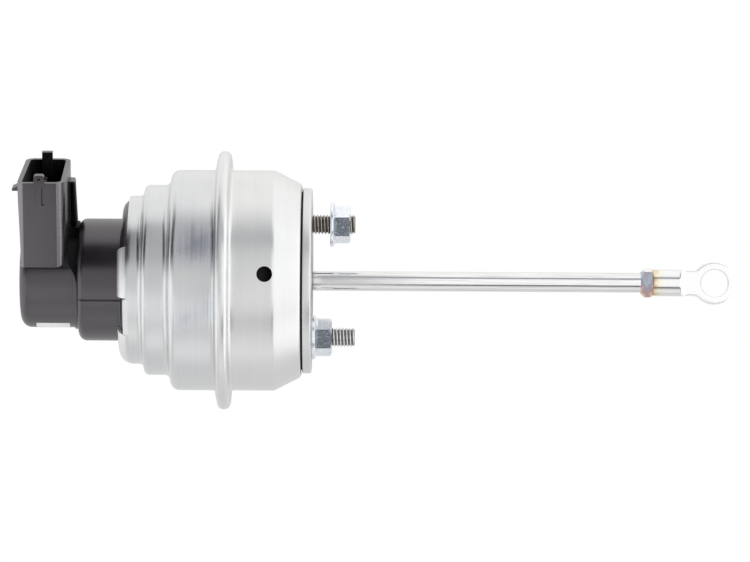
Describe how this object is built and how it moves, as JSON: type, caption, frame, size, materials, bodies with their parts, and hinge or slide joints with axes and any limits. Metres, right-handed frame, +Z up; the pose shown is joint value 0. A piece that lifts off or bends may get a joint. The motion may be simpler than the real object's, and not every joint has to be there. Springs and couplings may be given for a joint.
{
  "type": "turbo actuator",
  "caption": "Vacuum canister with a push rod and eye, threaded mounting studs, and a position sensor with a tilted plug socket.",
  "frame": {"origin": "middle of the mounting plate's front face, on the push rod's axis", "axes": "+X along the push rod towards its eye, +Z up as in the picture, the eye's hole along Y"},
  "size_m": [0.2203, 0.0869, 0.0786],
  "materials": {
    "can_steel": "drawn sheet steel, satin",
    "plate_steel": "satin plate",
    "stud_dark": "rolled thread, dull brown grey",
    "stud_grey": "rolled thread, zinc grey",
    "nut_zinc": "zinc plated, bluish",
    "rod_steel": "drawn bright",
    "tinted_steel": "heat tinted by welding",
    "eye_steel": "pressed, bright",
    "socket_plastic": "moulded, satin black",
    "barrel_plastic": "moulded, satin black",
    "inner_steel": "pressed, bare",
    "spring_steel": "drawn wire, oiled",
    "bronze": "sintered bronze",
    "felt": "dense felt",
    "diaphragm_rubber": "fabric-faced rubber",
    "seal_rubber": "smooth",
    "plunger_plastic": "natural acetal",
    "magnet": "sintered",
    "board": "solder mask",
    "contact": "plated"
  },
  "bodies": {
    "can": {"front_shell": "can_steel", "rear_shell": "can_steel", "mounting_plate": "plate_steel", "upper_stud": "stud_dark", "lower_stud": "stud_grey", "upper_nut": "nut_zinc", "lower_nut": "nut_zinc", "guide_housing": "inner_steel", "dust_seal": "felt", "spring_seat": "inner_steel", "vacuum_nipple": "can_steel", "diaphragm": "diaphragm_rubber", "return_spring": "spring_steel", "flange_seal": "seal_rubber", "sensor_barrel": "barrel_plastic", "sensor_cap": "socket_plastic", "sensor_board": "board", "connector_terminals": "contact", "plunger_spring": "spring_steel"},
    "guide": {"guide_bush": "bronze"},
    "rod": {"rod": "rod_steel", "lock_nut": "tinted_steel", "rod_end": "eye_steel", "piston": "inner_steel", "diaphragm_retainer": "inner_steel", "stop_washer": "inner_steel"},
    "plunger": {"sensor_plunger": "plunger_plastic", "sensor_magnet": "magnet"}
  },
  "joints": [
    {"name": "guide_swivel", "type": "hinge", "parent": "can", "child": "guide", "pos_m": [-0.0059, 0, 0], "axis": [0, 1, 0], "range_deg": [-2, 2], "stiffness_Nm_per_rad": 8, "deforming": ["diaphragm", "return_spring"]},
    {"name": "rod_slide", "type": "slide", "parent": "guide", "child": "rod", "axis": [-1, 0, 0], "range_m": [0, 0.012], "stiffness_N_per_m": 1850, "springref_m": -0.02, "deforming": ["return_spring", "diaphragm"]},
    {"name": "plunger_slide", "type": "slide", "parent": "can", "child": "plunger", "axis": [-1, 0, 0], "range_m": [0, 0.012], "deforming": ["plunger_spring"]}
  ],
  "couplings": [
    {"joint": "plunger_slide", "follows": "rod_slide", "ratio": 1}
  ]
}
